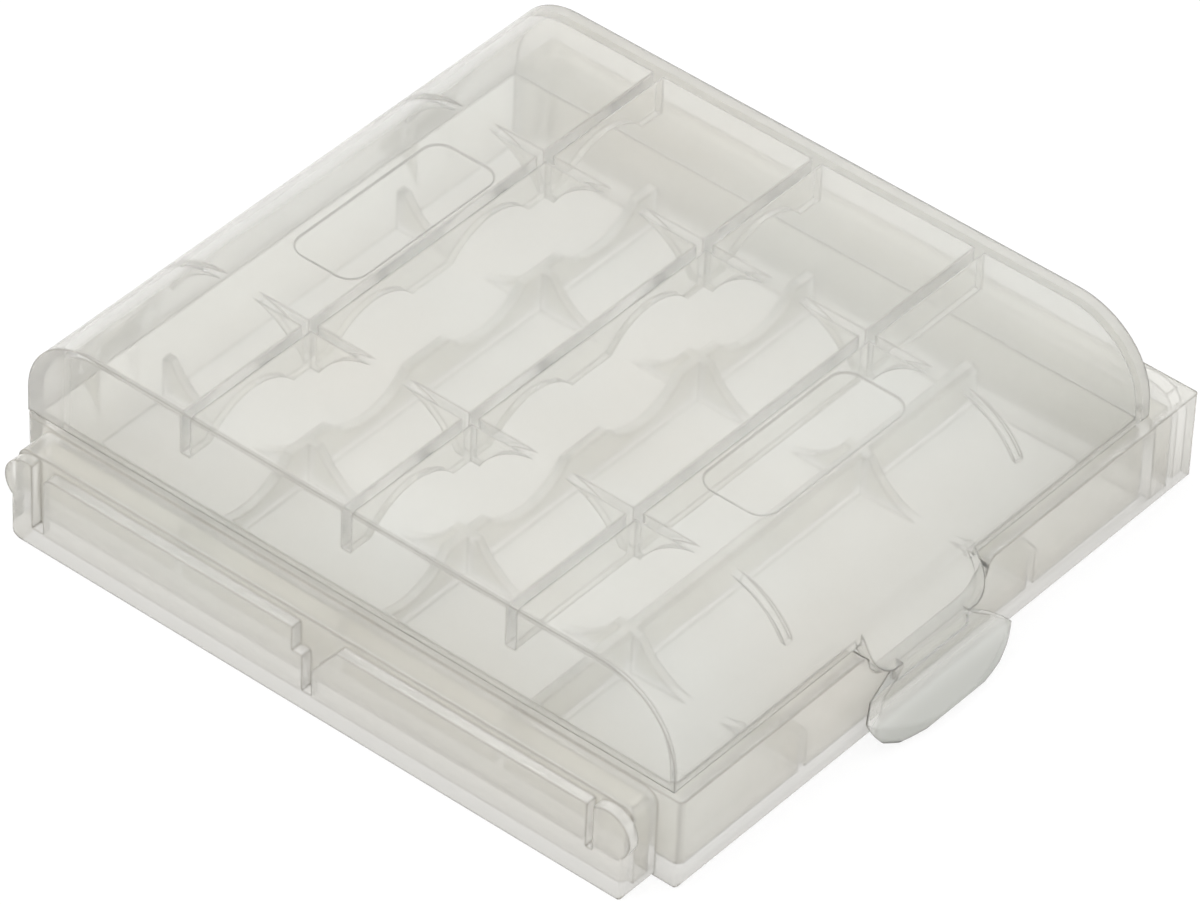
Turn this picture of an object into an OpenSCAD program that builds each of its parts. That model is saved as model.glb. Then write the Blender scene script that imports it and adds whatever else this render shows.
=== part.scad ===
// Hinged pocket case for loose round cells, moulded in translucent plastic.
// Four long cells lie side by side along X, or four short cells lie side by side along Y.
// Each half of the case holds half of every cradle.
// The origin is on the flat underside, below the middle rib. X runs along the hinge,
// -Y is the latch side and +Z is up. Millimetres.

/* [Cells] */
// Diameter of a long cell
long_d = 14.5; // [13.5:0.1:15.5]
// Length of a long cell
long_len = 50.5; // [48:0.5:56]
// Diameter of a short cell
short_d = 10.5; // [9.5:0.1:11.5]
// Length of a short cell
short_len = 44.5; // [43:0.5:46.5]

/* [Play round the cells] */
// Gap between two long cells, where a rib stands
long_gap = 1.1; // [1:0.1:2]
// Play all round a long cell in its cradle
long_play = 0.25; // [0.15:0.05:0.5]
// Play between the front wall and the long cell beside it
front_play = 0.3; // [0.1:0.05:0.6]
// Play at each end of a long cell
long_end_play = 1.6; // [0.5:0.1:3]
// Play all round a short cell in its arch
short_play = 0.55; // [0.2:0.05:0.6]
// Play at the end of a short cell
short_end_play = 0.4; // [0.2:0.1:1]
// Play above a long cell
height_play = 0.2; // [0.1:0.1:1]

/* [Walls] */
// Thickness of the lid's walls, and of the back wall below it
side_t = 0.9; // [0.7:0.1:1.2]
// Thickness of the lid's top
top_t = 1.0; // [0.8:0.1:1.6]
// Thickness of the floor
floor_t = 1.1; // [0.8:0.1:1.6]
// Thickness of the base's front wall
front_t = 1.2; // [0.8:0.1:1.6]
// Height of the thick rim that the lid lands on in front
rim_h = 1.0; // [0.6:0.1:2]
// Height of the base, up to the parting line
base_h = 8.3; // [7.8:0.1:9]
// Gap between the two rims when the case is shut
part_gap = 0.05; // [0.02:0.01:0.15]
// How far the base's front rim stands out past the lid
front_ledge = 1.15; // [0.8:0.05:2]
// How far the base's end rims stand out past the lid
end_ledge = 0.5; // [0.2:0.1:1]
// Radius along the top front edge of the lid
top_front_r = 7.3; // [5:0.1:8]
// Radius along the top back edge of the lid
top_back_r = 6.2; // [4:0.1:7]
// Radius along the bottom front edge and the front corner of the base
foot_r = 0.5; // [0.3:0.1:1.2]
// Radius of the base's back corner beside the block
heel_r = 1.0; // [0.5:0.1:1.4]

/* [Ribs and webs] */
// Thickness of the ribs, which run along X
rib_t = 0.9; // [0.7:0.1:1]
// Thickness of the webs, which run along Y
web_t = 0.8; // [0.6:0.1:1.2]
// Height of the ribs above the floor
rib_rise = 3.7; // [2.5:0.1:4.2]
// Depth of the ribs below the lid's top
rib_drop = 3.6; // [2.5:0.1:4.2]

/* [Blank fields inside the lid] */
// Length of a field along X
field_len = 17.2; // [10:0.1:22]
// Width of a field along Y
field_w = 6.6; // [4:0.1:7]
// How far a field stands down from the lid's top
field_t = 0.2; // [0.1:0.05:0.4]
// Radius of a field's corners
field_r = 1.6; // [0.5:0.1:2]
// Distance of a field from the rib beside it
field_gap = 0.4; // [0.2:0.1:0.5]
// Where the middle of the fields lies along X
field_x = 0.9; // [-2:0.1:2]

/* [Latch] */
// Width of the latch's tongue, where it passes through the notch in the front wall
tongue_w = 13.2; // [10:0.2:15]
// Gap between the tongue and the notch
notch_gap = 0.4; // [0.2:0.05:0.8]
// Depth of the notch below the parting line
notch_h = 2.8; // [2.6:0.1:3.2]
// Radius of the notch's lower corners
notch_r = 2.4; // [1:0.1:2.5]
// Radius of the notch's upper corners
notch_lip_r = 0.85; // [0.55:0.1:0.95]
// Width of the latch's neck, just below the tongue
neck_w = 7.6; // [5:0.2:10]
// Width of the latch's lower lip
latch_w = 16; // [12:0.2:18]
// Gap between the latch and the front wall
latch_gap = 0.15; // [0.1:0.05:0.3]
// Thickness of the latch
latch_t = 0.8; // [0.7:0.05:1]
// How far the latch's root rises up the lid's front
latch_root = 1.1; // [0.6:0.1:2]
// Height of the waist where the latch turns outward
latch_waist = 4.0; // [3.4:0.1:4.2]
// Height of the latch's lower lip above the ground
latch_lift = 0.5; // [0.3:0.1:1]
// How far the lip reaches out past the waist
latch_flare = 2.3; // [1:0.1:2.5]
// Radius of the lip's lower corners
latch_r = 2.2; // [1.5:0.1:2.4]
// How far the middle of the lip bows out past its ends
latch_bow = 1.5; // [0.6:0.1:1.6]
// Width of the catch bead on the front wall
catch_w = 8; // [5:0.5:9]
// Height of the catch bead above the ground
catch_z = 4.6; // [4.5:0.05:4.7]
// How far the catch bead stands out
catch_out = 0.15; // [0.05:0.05:0.15]

/* [Hinge] */
// Radius of the hinge barrels
barrel_r = 1.25; // [1.1:0.05:1.5]
// Radius of the hinge pins
pin_r = 0.65; // [0.5:0.05:0.8]
// Play round a hinge pin
pin_play = 0.05; // [0.03:0.01:0.1]
// Gap between the barrels and the back walls
barrel_gap = 0.15; // [0.1:0.05:0.4]
// Height of the hinge axis above the parting line
axis_rise = 0.15; // [0.1:0.05:0.3]
// Distance from the middle of the case to the middle of each hinge
hinge_x = 18; // [10:0.5:20]
// Width of a hinge eye on the base
eye_w = 4; // [3:0.1:5]
// Width of a hinge arm on the lid
arm_w = 2; // [1.5:0.1:2.5]
// Side gap between an eye and an arm
eye_gap = 0.2; // [0.1:0.05:0.4]

/* [Joining block] */
// How far the block stands out from the end wall
block_out = 2.65; // [2:0.05:4]
// Thickness of the block's walls
block_t = 1.0; // [0.7:0.1:1.3]
// How far the block's top lies below the parting line
block_drop = 0.25; // [0.1:0.05:0.5]
// Distance from the front of the base to the block
block_front_gap = 2.2; // [1.5:0.1:4]
// Distance from the back of the base to the block
block_back_gap = 1.95; // [1.8:0.05:4]
// Radius of the block's upper corners and of its lower back corner
block_r = 1.1; // [0.5:0.1:1.6]
// Radius of the block's upright corners
block_edge_r = 0.4; // [0.3:0.1:0.9]

/* [Joining pads] */
// How far the pads stand out from the block
pad_t = 1.0; // [0.6:0.1:1.2]
// How far the pads' tops lie below the block's top
pad_drop = 0.7; // [0.2:0.05:1]
// Distance from the block's back end to the first pad
pad_back = 3.3; // [2.8:0.1:5]
// Length of the first pad, up to the middle groove
pad_1_len = 25.5; // [20:0.5:30]
// Radius of the first pad's upper back corner
pad_r = 0.8; // [0.4:0.1:1.2]
// Width of the groove between the two pads
groove_w = 0.9; // [0.6:0.1:1.5]
// Depth of the sill below the middle groove
sill_mid = 1.8; // [1:0.1:3]
// Depth of the sill below the front groove
sill_front = 3.3; // [1:0.1:4]
// Size of the step in the first pad's upper corner
step_w = 1.0; // [0.5:0.1:2]
// Depth of that step below the pad's top
step_h = 2.2; // [0.5:0.1:3]
// Width of the bevel on the second pad's upper corner
corner_w = 2.4; // [1:0.1:4]
// Depth of that bevel below the pad's top
corner_h = 3.1; // [1:0.1:4]

/* [Posts on the block's ends] */
// Width of the front post
front_post_w = 2.9; // [2.4:0.1:3.2]
// Width of the groove between the front post and the second pad
front_groove_w = 0.6; // [0.4:0.1:1.2]
// Width of the back post
back_post_w = 2.2; // [1.2:0.1:2.4]
// Radius of the round bump on each post
bump_r = 2.2; // [1.8:0.1:2.4]
// How far the bumps' tops lie below the block's top
bump_drop = 0.2; // [0.1:0.05:0.4]
// How far the front bump stands out past the block's front end
front_bump_out = 0.5; // [0.3:0.1:0.8]
// How far the back bump stands out past the block's back end
back_bump_out = 0.5; // [0.3:0.1:1.0]

/* [Joining socket] */
// How far the socket stands out from the end wall
socket_out = 4.2; // [3.8:0.05:5]
// Radius of the socket's front corner
socket_r = 0.3; // [0.2:0.1:1]
// Gap between a pad and the recess that takes it
pad_fit = 0.15; // [0.1:0.05:0.3]

/* [Hidden] */
$fn = 64;
small = 0.01;

// cells and cradles
long_pitch = long_d + long_gap;
long_r = long_d / 2 + long_play;
short_r = short_d / 2 + short_play;

// inside of the case
in_x = long_len / 2 + long_end_play;
in_back = -long_pitch + rib_t / 2 + short_len + short_end_play;
in_front = -1.5 * long_pitch - long_d / 2;
in_top = floor_t + long_d + height_play;
cell_z = (floor_t + in_top) / 2;
short_pitch = in_x / 2;

rib_ys = [-long_pitch, 0, long_pitch];
row_ys = [in_front + front_play + long_d / 2, -long_pitch / 2, long_pitch / 2, in_back - long_d / 2];
arch_xs = [for (i = [-1.5 : 1 : 1.5]) i * short_pitch];
web_xs = [-short_pitch, short_pitch];

// outside of the case
lid_x = in_x + side_t;
lid_front = in_front - side_t;
lid_back = in_back + side_t;
lid_top = in_top + top_t;
end_x = lid_x + end_ledge;
base_front = lid_front - front_ledge;
lid_low = base_h + part_gap;

// hinge
axis_y = lid_back + barrel_gap + barrel_r;
axis_z = base_h + axis_rise;
bore_r = pin_r + pin_play;
arm_mid = eye_w / 2 + eye_gap + arm_w / 2;

// latch
latch_in = base_front - latch_gap;
latch_face = latch_in - latch_t;
latch_lip = latch_face - latch_flare;
latch_bend = base_h - notch_h + latch_gap;
lip_top = latch_lift + latch_r;
bow_r = (pow(latch_w / 2, 2) + pow(latch_bow, 2)) / (2 * latch_bow);
bead_r = 0.6;

// joining block, pads and socket
block_x = end_x + block_out;
block_h = base_h - block_drop;
block_front = base_front + block_front_gap;
block_back = lid_back - block_back_gap;
pad_top = block_h - pad_drop;
front_post = block_front + front_post_w;
back_post = block_back - back_post_w;
pad_2_front = front_post + front_groove_w;
pad_1_back = block_back - pad_back;
pad_split = pad_1_back - pad_1_len - groove_w / 2;
bump_z = block_h - bump_drop - bump_r;
front_bump_y = block_front - front_bump_out + bump_r;
back_bump_y = block_back + back_bump_out - bump_r;
socket_x = end_x + socket_out;
recess_depth = pad_t + pad_fit;

// Turns a flat shape drawn in (Y, Z) into a slab from x0 to x1.
module slab_x(x0, x1) {
    translate([x0, 0, 0]) rotate([90, 0, 90]) linear_extrude(x1 - x0) children();
}

// Turns a flat shape drawn in (X, Z) into a slab from y0 to y1.
module slab_y(y0, y1) {
    translate([0, y1, 0]) rotate([90, 0, 0]) linear_extrude(y1 - y0) children();
}

module rect(x0, y0, x1, y1) {
    translate([x0, y0]) square([x1 - x0, y1 - y0]);
}

// A rectangle whose corners have radius r.
module round_rect(x0, y0, x1, y1, r) {
    rect(x0 + r, y0, x1 - r, y1);
    rect(x0, y0 + r, x1, y1 - r);
    for (x = [x0 + r, x1 - r], y = [y0 + r, y1 - r]) translate([x, y]) circle(r);
}

// What rounding a corner at (x, y) with radius r takes off; sx and sy point outward.
module corner_cut(x, y, sx, sy, r) {
    difference() {
        translate([x - sx * (r - small) / 2, y - sy * (r - small) / 2])
            square(r + small, center = true);
        translate([x - sx * r, y - sy * r]) circle(r);
    }
}

// The lid's outline in (Y, Z), drawn in by inset on every side but the lowest.
module lid_outline(inset, low) {
    y0 = lid_front + inset;
    y1 = lid_back - inset;
    z1 = lid_top - inset;
    rf = top_front_r - inset;
    rb = top_back_r - inset;
    intersection() {
        rect(y0, low, y1, z1);
        union() {
            rect(y0 + rf, low, y1 - rb, z1);
            rect(y0, low, y1 - rb, z1 - rf);
            rect(y0 + rf, low, y1, z1 - rb);
            translate([y0 + rf, z1 - rf]) circle(rf);
            translate([y1 - rb, z1 - rb]) circle(rb);
        }
    }
}

// The hollow of the lid in (Y, Z): like its outline, but top_t thick above.
module lid_hollow(low) {
    rf = top_front_r - side_t;
    rb = top_back_r - side_t;
    intersection() {
        rect(in_front, low, in_back, in_top);
        union() {
            rect(in_front + rf, low, in_back - rb, in_top);
            rect(in_front, low, in_back - rb, in_top - rf);
            rect(in_front + rf, low, in_back, in_top - rb);
            translate([in_front + rf, in_top - rf]) circle(rf);
            translate([in_back - rb, in_top - rb]) circle(rb);
        }
    }
}

// The round arches for the short cells, in (X, Z).
module arches() {
    for (x = arch_xs) translate([x, cell_z]) circle(short_r);
}

// The round cradles for the long cells, in (Y, Z).
module cradles() {
    for (y = row_ys) translate([y, cell_z]) circle(long_r);
}

// Ribs between z0 and z1. The front rib is plain: the short cells stop against it.
module ribs(z0, z1) {
    reach = in_x + side_t / 2;
    for (i = [0 : 2])
        slab_y(rib_ys[i] - rib_t / 2, rib_ys[i] + rib_t / 2)
            difference() {
                rect(-reach, z0, reach, z1);
                if (i > 0) arches();
            }
}

// One hinge barrel along X, w wide, with its middle at x.
module barrel(x, w, r) {
    translate([x - w / 2, axis_y, axis_z]) rotate([0, 90, 0]) cylinder(r = r, h = w);
}

// A hinge eye of the base, on a bracket that leaves the back wall below it.
module hinge_eye(x) {
    difference() {
        union() {
            barrel(x, eye_w, barrel_r);
            slab_x(x - eye_w / 2, x + eye_w / 2)
                polygon([
                    [lid_back - side_t / 2, base_h - 4 * barrel_r],
                    [lid_back, base_h - 4 * barrel_r],
                    [axis_y + barrel_r, axis_z - barrel_r],
                    [axis_y + barrel_r, axis_z],
                    [axis_y - barrel_r, axis_z],
                    [lid_back, base_h - part_gap],
                    [lid_back - side_t / 2, base_h - part_gap]
                ]);
        }
        barrel(x, eye_w + 2 * small, bore_r);
    }
}

// A pair of hinge arms of the lid, with the pin between them.
module hinge_arms(x) {
    for (side = [-1, 1]) {
        mid = x + side * arm_mid;
        barrel(mid, arm_w, barrel_r);
        slab_x(mid - arm_w / 2, mid + arm_w / 2)
            polygon([
                [lid_back - side_t / 2, lid_low],
                [axis_y, axis_z],
                [axis_y + barrel_r * cos(60), axis_z + barrel_r * sin(60)],
                [lid_back, axis_z + 3 * barrel_r],
                [lid_back - side_t / 2, axis_z + 3 * barrel_r]
            ]);
    }
    barrel(x, 2 * arm_mid, pin_r);
}

// The finger latch: its tongue leaves the lid's front wall and passes out through the
// notch, its neck runs down the front wall, and its wide bowed lip turns outward.
module latch() {
    difference() {
        intersection() {
            slab_x(-latch_w / 2, latch_w / 2)
                polygon([
                    [in_front, lid_low],
                    [latch_in, latch_bend],
                    [latch_in, latch_waist - latch_t / 2],
                    [latch_lip + latch_t, latch_lift],
                    [latch_lip + latch_t / 3, latch_lift],
                    [latch_lip, latch_lift + latch_t / 2],
                    [latch_face, latch_waist],
                    [latch_face, latch_bend],
                    [lid_front, lid_low + latch_root],
                    [in_front, lid_low + latch_root]
                ]);
            slab_y(latch_lip - 1, in_front) latch_front();
            linear_extrude(lid_top) {
                translate([0, latch_lip + bow_r]) circle(bow_r, $fn = 128);
                rect(-latch_w / 2, latch_lip + latch_bow, latch_w / 2, in_back);
            }
        }
        latch_groove();
    }
}

// The latch seen from the front, in (X, Z): tongue, neck and lip.
module latch_front() {
    tongue_low = base_h - notch_h + notch_gap;
    tongue_r = notch_r - notch_gap;
    round_rect(-tongue_w / 2, tongue_low, tongue_w / 2, lid_top, tongue_r);
    polygon([
        [-neck_w / 2, tongue_low + small],
        [neck_w / 2, tongue_low + small],
        [latch_w / 2, lip_top],
        [-latch_w / 2, lip_top]
    ]);
    rect(-latch_w / 2 + latch_r, latch_lift, latch_w / 2 - latch_r, lip_top + small);
    for (side = [-1, 1])
        intersection() {
            translate([side * (latch_w / 2 - latch_r), lip_top]) circle(latch_r);
            rect(-latch_w / 2, latch_lift, latch_w / 2, lip_top + small);
        }
}

// The notch in the front wall that the tongue passes through, with round corners.
module latch_notch() {
    half = tongue_w / 2 + notch_gap;
    low = base_h - notch_h;
    slab_y(base_front - small, in_front + small) {
        rect(-half, low + notch_r, half, base_h + small);
        rect(-half + notch_r, low, half - notch_r, base_h + small);
        for (side = [-1, 1]) {
            outer = side * (half + notch_lip_r);
            translate([side * (half - notch_r), low + notch_r]) circle(notch_r);
            difference() {
                rect(min(side * half, outer), base_h - notch_lip_r,
                     max(side * half, outer), base_h + small);
                translate([outer, base_h - notch_lip_r]) circle(notch_lip_r);
            }
        }
    }
}

// A shallow groove in the back of the latch, which clears the catch bead.
module latch_groove() {
    depth = catch_out + latch_gap / 2;
    w = catch_w + 2 * latch_gap;
    translate([-w / 2, latch_in + bead_r - depth, catch_z])
        rotate([0, 90, 0]) cylinder(r = bead_r + latch_gap / 2, h = w);
}

// The catch bead on the base's front wall.
module catch_bead() {
    translate([-catch_w / 2, base_front + bead_r - catch_out, catch_z])
        rotate([0, 90, 0]) cylinder(r = bead_r, h = catch_w);
}

// A shallow blank field under the lid's top, from y0 towards +Y.
module blank_field(y0) {
    x0 = field_x - field_len / 2;
    translate([0, 0, in_top - field_t])
        linear_extrude(field_t + top_t / 2)
            round_rect(x0, y0, x0 + field_len, y0 + field_w, field_r);
}

// The lower tray without its ribs: floor and walls, with rounded front edges.
module tray() {
    difference() {
        intersection() {
            slab_x(-end_x, socket_x)
                difference() {
                    rect(base_front, 0, lid_back, base_h);
                    corner_cut(base_front, 0, -1, -1, foot_r);
                }
            linear_extrude(base_h)
                difference() {
                    rect(-end_x, base_front, socket_x, lid_back);
                    corner_cut(-end_x, base_front, -1, -1, foot_r);
                    corner_cut(-end_x, lid_back, -1, 1, heel_r);
                    corner_cut(socket_x, base_front, 1, -1, socket_r);
                }
        }
        slab_x(-in_x, in_x) {
            rect(base_front + front_t, floor_t, in_back, base_h - rim_h);
            rect(in_front, floor_t, in_back, base_h + small);
        }
        latch_notch();
        socket_hollow();
        socket_recess();
    }
}

// Space inside the joining socket, open below.
module socket_hollow() {
    translate([end_x, base_front + front_t, -small])
        cube([socket_out - recess_depth - block_t,
              lid_back - side_t - base_front - front_t, base_h - block_t + small]);
}

// The recess in the socket's face that takes the next case's pads and posts from below.
module socket_recess() {
    slab_x(socket_x - recess_depth, socket_x + small) {
        rect(block_front - pad_fit, -small, block_back + pad_fit, pad_top + pad_fit);
        rect(block_front - front_bump_out - pad_fit, -small,
             block_back + back_bump_out + pad_fit, bump_z);
        for (y = [front_bump_y, back_bump_y]) translate([y, bump_z]) circle(bump_r + pad_fit);
    }
}

// The pads' outline in (Y, Z): two long pads, a post at each end, and a sill along the foot.
module pad_outline() {
    split_back = pad_split + groove_w / 2;
    split_front = pad_split - groove_w / 2;
    rect(block_front, 0, block_back, sill_mid);
    rect(split_back, 0, pad_1_back, pad_top - step_h);
    rect(split_back + step_w, 0, pad_1_back - pad_r, pad_top);
    rect(split_back + step_w, 0, pad_1_back, pad_top - pad_r);
    translate([pad_1_back - pad_r, pad_top - pad_r]) circle(pad_r);
    polygon([
        [split_front, 0],
        [split_front, pad_top - corner_h],
        [split_front - corner_w, pad_top],
        [pad_2_front, pad_top],
        [pad_2_front, 0]
    ]);
    rect(block_front, 0, pad_2_front + small, sill_front);
    rect(block_front, 0, front_post, bump_z);
    rect(back_post, 0, block_back, bump_z);
}

// The round bumps on the two posts, each cut off where its post ends.
module bumps() {
    slab_x(-block_x - pad_t, -block_x) {
        intersection() {
            translate([front_bump_y, bump_z]) circle(bump_r);
            rect(block_front - front_bump_out, 0, front_post, block_h);
        }
        intersection() {
            translate([back_bump_y, bump_z]) circle(bump_r);
            rect(back_post, 0, block_back + back_bump_out, block_h);
        }
    }
}

// The space that the block keeps to: round corners all round, and round upright corners.
module block_limits() {
    x0 = -block_x - pad_t;
    intersection() {
        slab_x(x0, -lid_x)
            difference() {
                rect(block_front, 0, block_back, block_h);
                corner_cut(block_front, 0, -1, -1, foot_r);
                corner_cut(block_front, block_h, -1, 1, block_r);
                corner_cut(block_back, 0, 1, -1, block_r);
                corner_cut(block_back, block_h, 1, 1, block_r);
            }
        linear_extrude(block_h)
            difference() {
                rect(x0, block_front, -lid_x, block_back);
                corner_cut(x0, block_front, -1, -1, block_edge_r);
                corner_cut(x0, block_back, -1, 1, block_edge_r);
            }
    }
}

// The joining block on the left end, hollow below, with its pads and posts.
module joining_block() {
    difference() {
        union() {
            intersection() {
                union() {
                    slab_x(-block_x, -lid_x) rect(block_front, 0, block_back, block_h);
                    slab_x(-block_x - pad_t, -block_x + small) pad_outline();
                }
                block_limits();
            }
            bumps();
        }
        translate([-block_x + block_t, block_front + block_t, -small])
            cube([block_out - block_t, block_back - block_front - 2 * block_t,
                  block_h - block_t + small]);
    }
}

module base() {
    color([0.84, 0.83, 0.79]) {
        tray();
        joining_block();
        ribs(floor_t / 2, floor_t + rib_rise);
        for (x = web_xs)
            slab_x(x - web_t / 2, x + web_t / 2)
                difference() {
                    rect(base_front + front_t / 2, floor_t / 2, in_back + side_t / 2,
                         floor_t + rib_rise);
                    cradles();
                }
        catch_bead();
        for (x = [-hinge_x, hinge_x]) hinge_eye(x);
    }
}

module lid() {
    color([0.88, 0.87, 0.84]) {
        difference() {
            slab_x(-lid_x, lid_x) lid_outline(0, lid_low);
            slab_x(-in_x, in_x) lid_hollow(lid_low - small);
        }
        ribs(in_top - rib_drop, in_top + top_t / 2);
        for (x = web_xs)
            slab_x(x - web_t / 2, x + web_t / 2)
                difference() {
                    intersection() {
                        lid_outline(side_t / 2, lid_low);
                        rect(lid_front, in_top - rib_drop, lid_back, lid_top);
                    }
                    cradles();
                }
        blank_field(long_pitch + rib_t / 2 + field_gap);
        blank_field(-long_pitch - rib_t / 2 - field_gap - field_w);
        latch();
        for (x = [-hinge_x, hinge_x]) hinge_arms(x);
    }
}

base();
lid();
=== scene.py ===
"""A small hinged pocket case for loose cells, in frosted translucent plastic."""

import math

import bpy
from mathutils import Matrix, Vector

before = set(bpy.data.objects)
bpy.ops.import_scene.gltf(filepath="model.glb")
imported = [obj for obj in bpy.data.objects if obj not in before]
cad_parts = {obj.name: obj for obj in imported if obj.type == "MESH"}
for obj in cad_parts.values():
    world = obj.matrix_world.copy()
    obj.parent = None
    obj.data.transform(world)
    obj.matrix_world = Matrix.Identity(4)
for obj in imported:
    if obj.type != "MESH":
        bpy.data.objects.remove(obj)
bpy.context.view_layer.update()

MM = 0.001

# The camera, fitted to traced edges of the photograph (millimetres and degrees).
CAM_AT = Vector((-395.4, -313.8, 440.8))
CAM_AIM = Vector((-2.97, -3.9, 8.32))
CAM_ROLL = 2.57
CAM_LENS = 268.2
CAM_SENSOR = 36.0
CAM_NEAR = 10
CAM_FAR = 10000

WHITE = (1, 1, 1)

# The light: the surroundings' level at the horizon, overhead and as the camera sees them,
# and one wide soft lamp, with its place and its width in millimetres.
SIDE_LEVEL = 0.8
TOP_LEVEL = 1.2
SEEN_LEVEL = 1.0
KEY_WATTS = 0.5
KEY_AT = Vector((-250, 150, 420))
KEY_SIZE = 300

# The floor: how far it reaches from the middle in millimetres, its own tone, its white glow,
# and how much of that glow shows directly, and through the plastic or in its gloss.
FLOOR_REACH = 2000
FLOOR_TONE = (0.65, 0.65, 0.65)
FLOOR_GLOW = 1.15
GLOW_SEEN = 0.75
GLOW_BEHIND = 0.57

# The plastic. Scales count a pattern's cells in a metre, and details are its finer layers;
# depths and radii are in millimetres. Of a pattern's values, the middle half is used.
PLASTIC_IOR = 1.15
CLOUD_SCALE = 55
CLOUD_DETAIL = 3.0
STREAK_SCALE = 90
STREAK_DETAIL = 3.0
STREAK_STRETCH = (1.0, 0.25, 1.0)
GRAIN_SCALE = 3500
GRAIN_DETAIL = 2.0
GRAIN_DEPTH = 0.008
WAVE_SCALE = 160
WAVE_DETAIL = 1.0
WAVE_DEPTH = 0.015
NOISE_LOW = 0.25
NOISE_HIGH = 0.75

# The moulded edges: their radius, how much they veil, and how far the rounded surface's
# direction agrees with the flat one where an edge is full and where it has ended.
EDGE_R = 0.4
EDGE_SAMPLES = 8
EDGE_VEIL = 0.3
EDGE_FULL = 0.75
EDGE_GONE = 0.97

# The latch's lip, darkened with painted shade: where it starts and where it is full along Y,
# the share of light that it lets through, and its painted shade colour.
LIP_SHADE_START = -33.8
LIP_SHADE_FULL = -34.6
LIP_SHADE_CLEAR = 0.45
LIP_SHADE_TINT = (0.71, 0.715, 0.68)

# The lid's zone of painted shade: where its right end starts and is full along X, with its
# share, and the same for its back rounding along Y.
END_START = 26.7
END_FULL = 26.84
END_SHARE = 0.6
BACK_START = 25.5
BACK_FULL = 29.5

# The base's zone of painted shade: where its outer faces begin, and the heights between which it
# fades.
OUTSIDE_X = 27.4
OUTSIDE_FRONT = -31.2
OUTSIDE_BACK = 30.2
OUTSIDE_FADE = 0.2
FOOT_LOW = 0.6
FOOT_HIGH = 4.5

# Colours, share of light let through and its swing, roughness from smooth to rough, strength
# of the relief, and the colour and the share of light of the zone of painted shade above.
# The edge colours are painted shade along the moulded edges.
BASE_LOOK = dict(warm=(0.92, 0.90, 0.855), cool=(0.925, 0.925, 0.89), edge=(0.48, 0.46, 0.42),
                 clear=0.70, swing=0.03, smooth=0.10, rough=0.17, relief=0.2,
                 shade_tint=(0.82, 0.805, 0.765), shade_clear=0.64)
LID_LOOK = dict(warm=(0.96, 0.95, 0.918), cool=(0.955, 0.96, 0.94), edge=(0.49, 0.47, 0.44),
                clear=0.82, swing=0.03, smooth=0.07, rough=0.13, relief=0.15,
                shade_tint=(0.875, 0.865, 0.835), shade_clear=0.60)


def make_camera():
    """Points the camera at the case as the photograph's camera was."""
    data = bpy.data.cameras.new("camera")
    data.lens = CAM_LENS
    data.sensor_width = CAM_SENSOR
    data.clip_start = CAM_NEAR * MM
    data.clip_end = CAM_FAR * MM
    cam = bpy.data.objects.new("camera", data)
    bpy.context.scene.collection.objects.link(cam)
    look = (CAM_AIM - CAM_AT).to_track_quat("-Z", "Y").to_matrix().to_4x4()
    roll = Matrix.Rotation(math.radians(CAM_ROLL), 4, "Z")
    cam.matrix_world = Matrix.Translation(CAM_AT * MM) @ look @ roll
    bpy.context.scene.camera = cam


def feed(tree, socket, value):
    """Links a socket into another one, or writes a plain value there."""
    if isinstance(value, bpy.types.NodeSocket):
        tree.links.new(value, socket)
    else:
        socket.default_value = value


def node_of(tree, kind, **inputs):
    """Adds a shader node and feeds its inputs by name."""
    n = tree.nodes.new(kind)
    for key, value in inputs.items():
        feed(tree, n.inputs[key.replace("_", " ")], value)
    return n


def calc(tree, operation, *values):
    """Adds a Math node and returns its result, between 0 and 1."""
    n = tree.nodes.new("ShaderNodeMath")
    n.operation = operation
    n.use_clamp = True
    for socket, value in zip(n.inputs, values):
        feed(tree, socket, value)
    return n.outputs[0]


def span(tree, value, from_low, from_high, to_low, to_high):
    """Maps a value from one range to another and stops at its ends."""
    n = node_of(tree, "ShaderNodeMapRange", Value=value, From_Min=from_low, From_Max=from_high,
                To_Min=to_low, To_Max=to_high)
    return n.outputs[0]


def mix_colors(tree, factor, first, second):
    """Goes from the first colour to the second as the factor goes from 0 to 1."""
    n = tree.nodes.new("ShaderNodeMix")
    n.data_type = "RGBA"
    sockets = [s for s in n.inputs if s.type == "RGBA"]
    feed(tree, n.inputs["Factor"], factor)
    for socket, color in zip(sockets, (first, second)):
        feed(tree, socket, (*color, 1) if isinstance(color, tuple) else color)
    return next(s for s in n.outputs if s.type == "RGBA")


def mix_values(tree, factor, first, second):
    """Goes from the first value to the second as the factor goes from 0 to 1."""
    n = node_of(tree, "ShaderNodeMix", Factor=factor, A=first, B=second)
    return n.outputs["Result"]


def ambient_world():
    """Plain white surroundings, brighter overhead than at the sides; white to the camera."""
    world = bpy.data.worlds.new("surroundings")
    bpy.context.scene.world = world
    world.use_nodes = True
    tree = world.node_tree
    way = tree.nodes.new("ShaderNodeTexCoord").outputs["Generated"]
    rise = node_of(tree, "ShaderNodeSeparateXYZ", Vector=way).outputs["Z"]
    seen = tree.nodes.new("ShaderNodeLightPath").outputs["Is Camera Ray"]
    around = span(tree, rise, 0, 1, SIDE_LEVEL, TOP_LEVEL)
    shade = tree.nodes["Background"].inputs
    feed(tree, shade["Color"], (*WHITE, 1))
    feed(tree, shade["Strength"], mix_values(tree, seen, around, SEEN_LEVEL))


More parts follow.
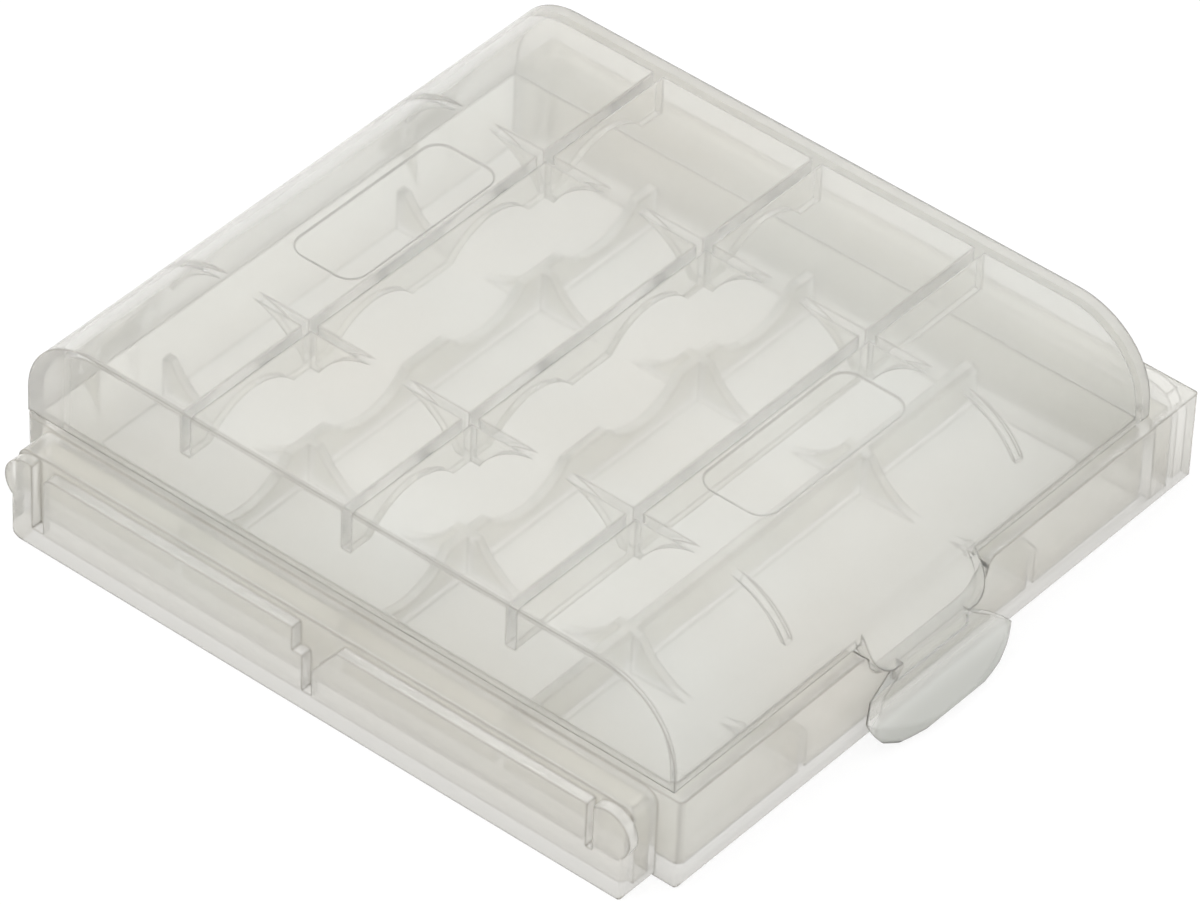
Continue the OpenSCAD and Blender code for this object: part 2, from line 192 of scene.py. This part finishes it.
def key_light():
    """One wide soft lamp from the upper left and back."""
    data = bpy.data.lights.new("key", "AREA")
    data.energy = KEY_WATTS
    data.shape = "SQUARE"
    data.size = KEY_SIZE * MM
    lamp = bpy.data.objects.new("key", data)
    bpy.context.scene.collection.objects.link(lamp)
    turn = (-KEY_AT).to_track_quat("-Z", "Y").to_matrix().to_4x4()
    lamp.matrix_world = Matrix.Translation(KEY_AT * MM) @ turn


def floor():
    """A plain pale floor: white to the camera, greyer through the plastic, with a shadow."""
    r = FLOOR_REACH * MM
    mesh = bpy.data.meshes.new("floor")
    mesh.from_pydata([(-r, -r, 0), (r, -r, 0), (r, r, 0), (-r, r, 0)], [], [(0, 1, 2, 3)])
    obj = bpy.data.objects.new("floor", mesh)
    bpy.context.scene.collection.objects.link(obj)
    mat = bpy.data.materials.new("floor_white")
    mat.use_nodes = True
    tree = mat.node_tree
    tree.nodes.clear()
    rays = tree.nodes.new("ShaderNodeLightPath").outputs
    behind = calc(tree, "MAXIMUM", rays["Is Glossy Ray"], rays["Is Transmission Ray"])
    level = calc(tree, "MAXIMUM", calc(tree, "MULTIPLY", rays["Is Camera Ray"], GLOW_SEEN),
                 calc(tree, "MULTIPLY", behind, GLOW_BEHIND))
    paper = node_of(tree, "ShaderNodeBsdfDiffuse", Color=(*FLOOR_TONE, 1))
    glow = node_of(tree, "ShaderNodeEmission", Color=(*WHITE, 1), Strength=FLOOR_GLOW)
    mix = node_of(tree, "ShaderNodeMixShader", Fac=level)
    tree.links.new(paper.outputs[0], mix.inputs[1])
    tree.links.new(glow.outputs[0], mix.inputs[2])
    node_of(tree, "ShaderNodeOutputMaterial", Surface=mix.outputs[0])
    mesh.materials.append(mat)


def noise(tree, coords, scale, detail, stretch=(1, 1, 1)):
    """Adds a noise pattern, which may be stretched."""
    place = node_of(tree, "ShaderNodeMapping", Vector=coords, Scale=stretch)
    pattern = node_of(tree, "ShaderNodeTexNoise", Vector=place.outputs[0], Scale=scale,
                      Detail=detail)
    return pattern.outputs["Fac"]


def spread(tree, pattern, low, high):
    """Maps a noise pattern's middle half to the range from low to high."""
    return span(tree, pattern, NOISE_LOW, NOISE_HIGH, low, high)


def bump(tree, height, depth, strength, normal):
    """Lays a fine relief over a surface."""
    n = node_of(tree, "ShaderNodeBump", Height=height, Distance=depth * MM, Strength=strength,
                Normal=normal)
    return n.outputs[0]


def edge_share(tree, rounded):
    """Gives 1 along the edges, which are moulded slightly round and get painted shade, and 0
    elsewhere.
    """
    plain = tree.nodes.new("ShaderNodeNewGeometry").outputs["Normal"]
    turn = tree.nodes.new("ShaderNodeVectorMath")
    turn.operation = "DOT_PRODUCT"
    tree.links.new(rounded, turn.inputs[0])
    tree.links.new(plain, turn.inputs[1])
    agreement = calc(tree, "ABSOLUTE", turn.outputs["Value"])
    return span(tree, agreement, EDGE_FULL, EDGE_GONE, 1, 0)


def lip_shade_share(tree, coords):
    """Gives 1 on the latch's lip, which gets painted shade, and 0 elsewhere."""
    split = node_of(tree, "ShaderNodeSeparateXYZ", Vector=coords).outputs
    return span(tree, split["Y"], LIP_SHADE_FULL * MM, LIP_SHADE_START * MM, 1, 0)


def lid_shade_share(tree, coords):
    """Gives 1 on the lid's back rounding and a part on its right end, which get painted shade.
    """
    split = node_of(tree, "ShaderNodeSeparateXYZ", Vector=coords).outputs
    end = span(tree, split["X"], END_START * MM, END_FULL * MM, 0, END_SHARE)
    back = span(tree, split["Y"], BACK_START * MM, BACK_FULL * MM, 0, 1)
    return calc(tree, "MAXIMUM", end, back)


def foot_shade_share(tree, coords):
    """Gives 1 at the foot of the base's outer walls, which get painted shade there."""
    split = node_of(tree, "ShaderNodeSeparateXYZ", Vector=coords).outputs
    beside = calc(tree, "ABSOLUTE", split["X"])
    ends = span(tree, beside, OUTSIDE_X * MM, (OUTSIDE_X + OUTSIDE_FADE) * MM, 0, 1)
    front = span(tree, split["Y"], (OUTSIDE_FRONT - OUTSIDE_FADE) * MM, OUTSIDE_FRONT * MM, 1, 0)
    back = span(tree, split["Y"], OUTSIDE_BACK * MM, (OUTSIDE_BACK + OUTSIDE_FADE) * MM, 0, 1)
    outside = calc(tree, "MAXIMUM", ends, calc(tree, "MAXIMUM", front, back))
    low = span(tree, split["Z"], FOOT_LOW * MM, FOOT_HIGH * MM, 1, 0)
    return calc(tree, "MULTIPLY", outside, low)


def frosted(name, look, shade_zone_share):
    """Natural polypropylene: see-through under a milky veil, with streaks and a fine grain, and
    with painted shade along its edges, on the latch's lip and in one zone.
    """
    mat = bpy.data.materials.new(name)
    mat.use_nodes = True
    tree = mat.node_tree
    shader = tree.nodes["Principled BSDF"].inputs
    shader["IOR"].default_value = PLASTIC_IOR
    coords = tree.nodes.new("ShaderNodeTexCoord").outputs["Object"]
    soft = node_of(tree, "ShaderNodeBevel", Radius=EDGE_R * MM)
    soft.samples = EDGE_SAMPLES
    edge = edge_share(tree, soft.outputs[0])
    lip_shade = lip_shade_share(tree, coords)
    shade_zone = shade_zone_share(tree, coords)

    clouds = spread(tree, noise(tree, coords, CLOUD_SCALE, CLOUD_DETAIL), 0, 1)
    tint = mix_colors(tree, clouds, look["warm"], look["cool"])
    # In its zone the plastic turns darker and lets less light through: painted shade.
    tint = mix_colors(tree, shade_zone, tint, look["shade_tint"])
    # Along the edges the colour turns darker and less light gets through: painted shade.
    tint = mix_colors(tree, edge, tint, look["edge"])
    # The latch's lip turns darker and lets less light through: painted shade.
    feed(tree, shader["Base Color"], mix_colors(tree, lip_shade, tint, LIP_SHADE_TINT))

    streaks = noise(tree, coords, STREAK_SCALE, STREAK_DETAIL, STREAK_STRETCH)
    clear = spread(tree, streaks, look["clear"] - look["swing"], look["clear"] + look["swing"])
    clear = mix_values(tree, shade_zone, clear, look["shade_clear"])
    clear = calc(tree, "MULTIPLY_ADD", edge, -EDGE_VEIL, clear)
    feed(tree, shader["Transmission Weight"], mix_values(tree, lip_shade, clear, LIP_SHADE_CLEAR))

    grain = noise(tree, coords, GRAIN_SCALE, GRAIN_DETAIL)
    feed(tree, shader["Roughness"], spread(tree, grain, look["smooth"], look["rough"]))
    relief = bump(tree, grain, GRAIN_DEPTH, look["relief"], soft.outputs[0])
    waves = noise(tree, coords, WAVE_SCALE, WAVE_DETAIL)
    feed(tree, shader["Normal"], bump(tree, waves, WAVE_DEPTH, look["relief"], relief))
    return mat


make_camera()
ambient_world()
key_light()
floor()

looks = (("base", BASE_LOOK, foot_shade_share), ("lid", LID_LOOK, lid_shade_share))
for node, look, shade_zone_share in looks:
    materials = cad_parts[node].data.materials
    materials.clear()
    materials.append(frosted(node + "_plastic", look, shade_zone_share))

bpy.context.scene.view_settings.view_transform = "Standard"
